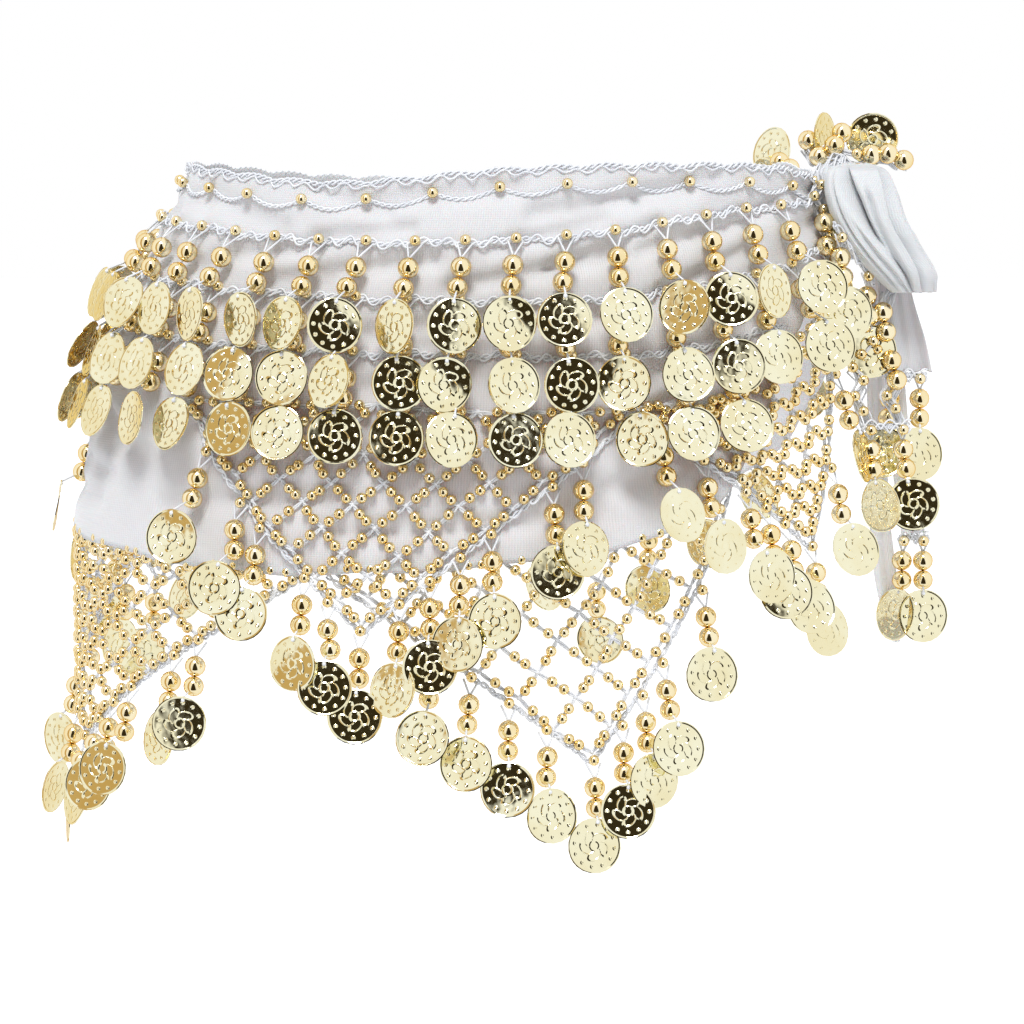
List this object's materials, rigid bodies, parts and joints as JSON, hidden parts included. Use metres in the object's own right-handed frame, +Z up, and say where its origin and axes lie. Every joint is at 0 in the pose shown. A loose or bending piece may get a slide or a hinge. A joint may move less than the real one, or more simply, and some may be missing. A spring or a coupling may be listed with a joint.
{
  "type": "coin belt",
  "caption": "Knotted hip scarf in its worn form, with coin and bead fringes in rows, beaded crochet nets over and below the cloth, and loose knotted ends.",
  "frame": {"origin": "middle of the top opening, where the wearer's hips hold the belt", "axes": "+Z up out of the top opening, -Y to the wearer's front, +X to the side with the knot"},
  "size_m": [0.4226, 0.2865, 0.3349],
  "materials": {
    "voile": "fine pale voile, soft and slightly sheer",
    "crochet_cord": "white crochet thread with small gold beads",
    "gold": "polished gold-coloured beads and thin stamped coins"
  },
  "bodies": {
    "root": {"wrap_cloth": "voile", "knot_wrap": "voile", "knot_loop": "voile", "knot_flap": "voile", "upper_end": "voile", "lower_end": "voile", "inner_end": "voile", "front_net": "crochet_cord", "left_net": "crochet_cord", "back_net": "crochet_cord", "knot_net": "crochet_cord", "hem_net_front": "crochet_cord", "hem_net_left_front": "crochet_cord", "hem_net_left_back": "crochet_cord", "coin_row_1": "gold", "coin_row_2": "gold", "coin_row_3": "gold", "front_net_coins": "gold", "left_net_coins": "gold", "back_net_coins": "gold", "knot_net_coins": "gold", "hem_net_front_coins": "gold", "hem_net_left_coins": "gold", "thrown_coins": "gold", "knot_top_coins": "gold", "upper_end_coins": "gold", "lower_end_coins": "gold"}
  },
  "joints": []
}
